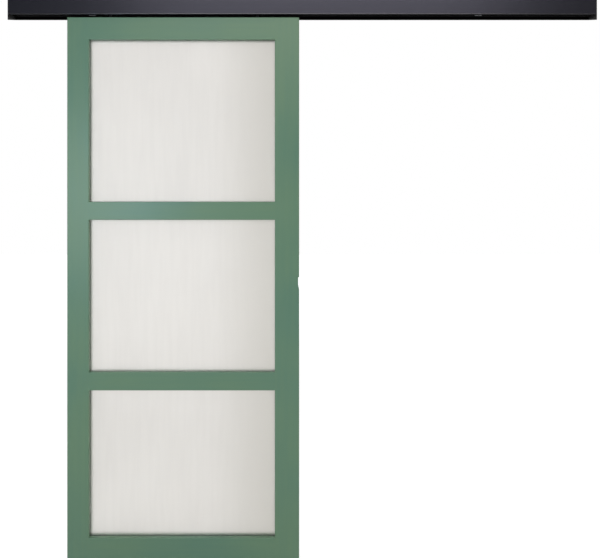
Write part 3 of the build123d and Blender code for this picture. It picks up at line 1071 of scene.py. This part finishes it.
@dataclass
class WheelShields(Fittings):
    """The pressed steel shields in the wheels' dished faces, round the hubs."""

    inner_radius: float = 4.75 * MM
    outer_radius: float = 7.45 * MM
    thickness: float = 0.5 * MM
    below_face: float = 0.55 * MM
    bead_height: float = 0.25 * MM
    bead_inset: float = 0.3
    edge: float = 0.12 * MM
    edge_steps: int = 2
    sides: int = 48

    def build(self) -> None:
        """Model one shield, and copy it to the eight wheels."""
        wheels = [
            f"wheel_{side}_{end}_{face}"
            for side in ("left", "right")
            for end in ("rear", "lead")
            for face in ("front", "back")
        ]
        first_place = self.seat_of(wheels[0])
        first = self.shield(first_place)
        shields = [first]
        for wheel in wheels[1:]:
            shields.append(Bench.again(first, "shield", self.seat_of(wheel) - first_place))
        for wheel, shield in zip(wheels, shields):
            if wheel.endswith("back"):
                self.turn_round(shield)
            shield.name = wheel.replace("wheel", "shield")
            self.deliver(shield, wheel, "zinc_steel")

    def seat_of(self, wheel: str) -> Vector:
        """Middle of a shield in its wheel's dish.

        Args:
            wheel: The wheel's node.

        Returns:
            The place.
        """
        low, high = corners_of(wheel)
        deep = self.below_face + self.thickness / 2
        y = low.y + deep if wheel.endswith("front") else high.y - deep
        return Vector(((low.x + high.x) / 2, y, (low.z + high.z) / 2))

    def shield(self, middle: Vector) -> Piece:
        """Model a shield: a washer with a raised bead and soft edges.

        Args:
            middle: Its middle.

        Returns:
            The shield.
        """
        half = Vector((0, self.thickness / 2, 0))
        width = self.outer_radius - self.inner_radius
        made = Bench.rod("shield", self.sides, self.outer_radius, (middle - half, middle + half))
        Bench.pick_faces(made, lambda place, normal: abs(normal.y) > FACING)
        bpy.ops.mesh.inset(thickness=width)
        bpy.ops.mesh.bridge_edge_loops()
        Bench.pick_faces(made, lambda place, normal: normal.y < -FACING)
        bpy.ops.mesh.inset(thickness=width * self.bead_inset, use_boundary=True)
        Bench.draw_out((0.0, -self.bead_height, 0.0))
        front = middle.y - self.thickness / 2 - self.bead_height
        Bench.pick_edges(made, lambda a, b: max(a.y, b.y) < front + self.edge)
        bpy.ops.mesh.bevel(offset=self.edge, segments=self.edge_steps, affect="EDGES")
        Bench.close()
        return made

    @staticmethod
    def turn_round(shield: Piece) -> None:
        """Turn a shield's beaded face to the back."""
        middle = sum((corner.co for corner in shield.data.vertices), Vector()) / len(shield.data.vertices)
        turn = Matrix.Translation(middle) @ Matrix.Rotation(math.pi, 4, "Z") @ Matrix.Translation(-middle)
        shield.data.transform(turn)


@dataclass
class GlazingPins(Fittings):
    """The heads of the pins that hold the glazing beads, seen from behind."""

    head_radius: float = 1.1 * MM
    head_rise: float = 0.25 * MM
    dome_width: float = 0.45
    dome_rise: float = 0.4
    end_inset: float = 60.0 * MM
    largest_pitch: float = 180.0 * MM
    off_edge: float = 4.0 * MM
    sides: int = 16

    def build(self) -> None:
        """Model one pin head, and copy it along every bead, as one object for each light."""
        for light in ("upper", "middle", "lower"):
            places = [
                place
                for side in ("top", "bottom", "left", "right")
                for place in self.places(light, side)
            ]
            first = self.head(places[0])
            heads = [first]
            for number, place in enumerate(places[1:], start=2):
                heads.append(Bench.again(first, f"pin_{number}", place - places[0]))
            self.deliver(Bench.joined(heads, f"glazing_pins_{light}"), "leaf", "zinc_steel")

    def places(self, light: str, side: str) -> list[Vector]:
        """Where the pins of one bead go.

        Args:
            light: The bead's light.
            side: The bead's side of it.

        Returns:
            The middles of the heads, on the bead's back.
        """
        low, high = corners_of(f"bead_{light}_{side}")
        level = side in ("top", "bottom")
        start, end = (low.x, high.x) if level else (low.z, high.z)
        run = end - start - 2 * self.end_inset
        gaps = max(1, math.ceil(run / self.largest_pitch))
        along = [start + self.end_inset + run * step / gaps for step in range(gaps + 1)]
        outer = {"top": high.z, "bottom": low.z, "left": low.x, "right": high.x}[side]
        across = outer + (self.off_edge if side in ("bottom", "left") else -self.off_edge)
        if level:
            return [Vector((x, high.y, across)) for x in along]
        return [Vector((across, high.y, z)) for z in along]

    def head(self, place: Vector) -> Piece:
        """Model a pin head: a low dome with a flat middle.

        Args:
            place: Its middle on the bead's back.

        Returns:
            The head.
        """
        sunk = Vector((0, -self.head_rise, 0))
        proud = Vector((0, self.head_rise, 0))
        pin = Bench.rod("pin_1", self.sides, self.head_radius, (place + sunk, place + proud))
        Bench.pick_faces(pin, lambda middle, normal: normal.y > FACING)
        bpy.ops.mesh.inset(
            thickness=self.head_radius * self.dome_width, depth=self.head_rise * self.dome_rise
        )
        Bench.close()
        return pin


@dataclass
class Softbox:
    """A rectangular studio lamp."""

    name: str
    place: tuple[float, float, float]
    aim: tuple[float, float, float]
    width: float
    height: float
    watts: float
    colour: Colour = (1.0, 1.0, 1.0)

    def build(self) -> None:
        """Hang the lamp and aim it."""
        lamp = bpy.data.lights.new(self.name, "AREA")
        lamp.shape = "RECTANGLE"
        lamp.size = self.width
        lamp.size_y = self.height
        lamp.energy = self.watts
        lamp.color = self.colour
        holder = bpy.data.objects.new(self.name, lamp)
        bpy.context.scene.collection.objects.link(holder)
        holder.location = self.place
        holder.rotation_euler = (Vector(self.aim) - Vector(self.place)).to_track_quat("-Z", "Y").to_euler()


@dataclass
class Studio:
    """The floor, the surroundings, the lamps and the camera.

    A fade is the span over which something changes, and the pair below it holds its values at the two ends.
    """

    image_width: int = 600
    image_height: int = 558
    camera_distance: float = 2.3
    leaf_pixels: float = 232.2
    leaf_left_pixel: float = 66.98
    leaf_top_pixel: float = 17.05
    horizon_pixel: float = 200.0
    sensor: float = 36.0
    floor_half: float = 14.0
    floor_x: float = -0.4
    floor_colour: Colour = (0.48, 0.48, 0.47)
    floor_fade: tuple[float, float] = (2.5, 6.0)
    floor_lift: tuple[float, float] = (0.68, 0.85)
    world_fade: tuple[float, float] = (-0.3, 0.4)
    world_glow: tuple[float, float] = (0.34, 1.0)
    white: float = 1.0

    def build(self) -> None:
        """Set up everything round the object."""
        leaf_low, leaf_high = self.leaf_box()
        eye = self.build_camera(leaf_low, leaf_high)
        self.build_floor()
        self.build_world()
        self.build_lamps(eye)
        view = bpy.context.scene.view_settings
        view.view_transform = "Standard"
        log.info("studio ready")

    @staticmethod
    def leaf_box() -> tuple[Vector, Vector]:
        """Lowest and highest corner of the leaf's two stiles together."""
        left_low, left_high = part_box("stile_left")
        right_low, right_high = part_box("stile_right")
        low = Vector([min(a, b) for a, b in zip(left_low, right_low)])
        high = Vector([max(a, b) for a, b in zip(left_high, right_high)])
        return low, high

    def build_camera(self, leaf_low: Vector, leaf_high: Vector) -> Vector:
        """Place the camera level, so that the leaf lies where the photograph has it.

        Args:
            leaf_low: Lowest corner of the leaf.
            leaf_high: Highest corner of the leaf.

        Returns:
            The camera's place.
        """
        scale = (leaf_high.x - leaf_low.x) / self.leaf_pixels
        middle = self.image_width / 2
        x = leaf_low.x + (middle - self.leaf_left_pixel) * scale
        z = leaf_high.z - (self.horizon_pixel - self.leaf_top_pixel) * scale
        data = bpy.data.cameras.new("camera")
        data.sensor_width = self.sensor
        data.lens = self.sensor * self.camera_distance / (scale * self.image_width)
        data.shift_y = (self.horizon_pixel - self.image_height / 2) / self.image_width
        camera = bpy.data.objects.new("camera", data)
        bpy.context.scene.collection.objects.link(camera)
        camera.location = (x, leaf_low.y - self.camera_distance, z)
        camera.rotation_euler = (math.pi / 2, 0.0, 0.0)
        bpy.context.scene.camera = camera
        return camera.location.copy()

    def build_floor(self) -> None:
        """Lay a pale floor at the foot of the floor guide, which fades to white for the eye."""
        Bench.clear()
        low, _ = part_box("floor_guide")
        bpy.ops.mesh.primitive_plane_add(size=2 * self.floor_half, location=(self.floor_x, 0.0, low[2]))
        floor = bpy.context.object
        floor.name = "floor"
        made = bpy.data.materials.new("pale_floor")
        made.use_nodes = True
        sheet = Sheet(made.node_tree)
        matt = sheet.add("ShaderNodeBsdfDiffuse")
        matt.inputs["Color"].default_value = (*self.floor_colour, 1.0)
        glow = sheet.add("ShaderNodeEmission")
        straight, glossy = sheet.rays()
        direct = sheet.math("MAXIMUM", straight, glossy)
        distance = sheet.add("ShaderNodeVectorMath", operation="LENGTH")
        sheet.join(sheet.add("ShaderNodeTexCoord").outputs["Object"], distance.inputs[0])
        lift = sheet.ramp(distance.outputs["Value"], *self.floor_fade, to=self.floor_lift)
        sheet.join(sheet.math("MULTIPLY", direct, lift), glow.inputs["Strength"])
        both = sheet.add("ShaderNodeAddShader")
        sheet.join(matt.outputs[0], both.inputs[0])
        sheet.join(glow.outputs[0], both.inputs[1])
        sheet.join(both.outputs[0], sheet.add("ShaderNodeOutputMaterial").inputs["Surface"])
        floor.data.materials.append(made)

    def build_world(self) -> None:
        """Surround the object: white for the eye, pale behind the door and dim on the room's side."""
        world = bpy.data.worlds.new("studio")
        world.use_nodes = True
        bpy.context.scene.world = world
        sheet = Sheet(world.node_tree)
        depth = sheet.split(sheet.add("ShaderNodeTexCoord").outputs["Generated"]).outputs["Y"]
        behind = sheet.ramp(depth, *self.world_fade, to=self.world_glow)
        straight, glossy = sheet.rays()
        mirrored = sheet.math("MULTIPLY", glossy, sheet.math("GREATER_THAN", depth, 0.0))
        seen = sheet.towards(sheet.math("MAXIMUM", straight, mirrored), behind, self.white)
        glow = sheet.add("ShaderNodeBackground")
        glow.inputs["Color"].default_value = (1.0, 1.0, 1.0, 1.0)
        sheet.join(seen, glow.inputs["Strength"])
        sheet.join(glow.outputs[0], sheet.add("ShaderNodeOutputWorld").inputs["Surface"])

    @staticmethod
    def build_lamps(eye: Vector) -> None:
        """Hang the softboxes.

        Args:
            eye: The camera's place, which the lamps are placed by.
        """
        middle = (-0.45, -0.05, eye.z - 0.2)
        lamps = (
            Softbox(
                name="key_left", place=(eye.x - 1.43, eye.y - 0.1, eye.z + 0.05), aim=middle,
                width=0.5, height=0.6, watts=18.0, colour=(0.68, 0.87, 1.0),
            ),
            Softbox(
                name="overhead", place=(eye.x + 0.12, eye.y - 0.5, eye.z + 1.72), aim=(-0.2, 0.0, -0.4),
                width=3.0, height=0.36, watts=30.0, colour=(1.0, 0.97, 0.94),
            ),
            Softbox(
                name="fill_right", place=(eye.x + 2.2, eye.y + 0.3, eye.z - 0.2), aim=middle,
                width=1.2, height=1.6, watts=10.0,
            ),
            Softbox(
                name="back", place=(-0.4, 1.5, eye.z + 4.2), aim=middle,
                width=2.4, height=1.2, watts=6.0,
            ),
        )
        for lamp in lamps:
            lamp.build()


def main() -> None:
    """Dress the door and set up the studio."""
    logging.basicConfig(level=logging.INFO, format="%(name)s: %(message)s")
    Studio().build()
    wardrobe = Wardrobe(Patterns())
    wardrobe.dress()
    for fittings in (FingerPull, HangerBolts, HangerScrews, WheelShields, GlazingPins):
        fittings(wardrobe).build()


if __name__ == "__main__":
    main()
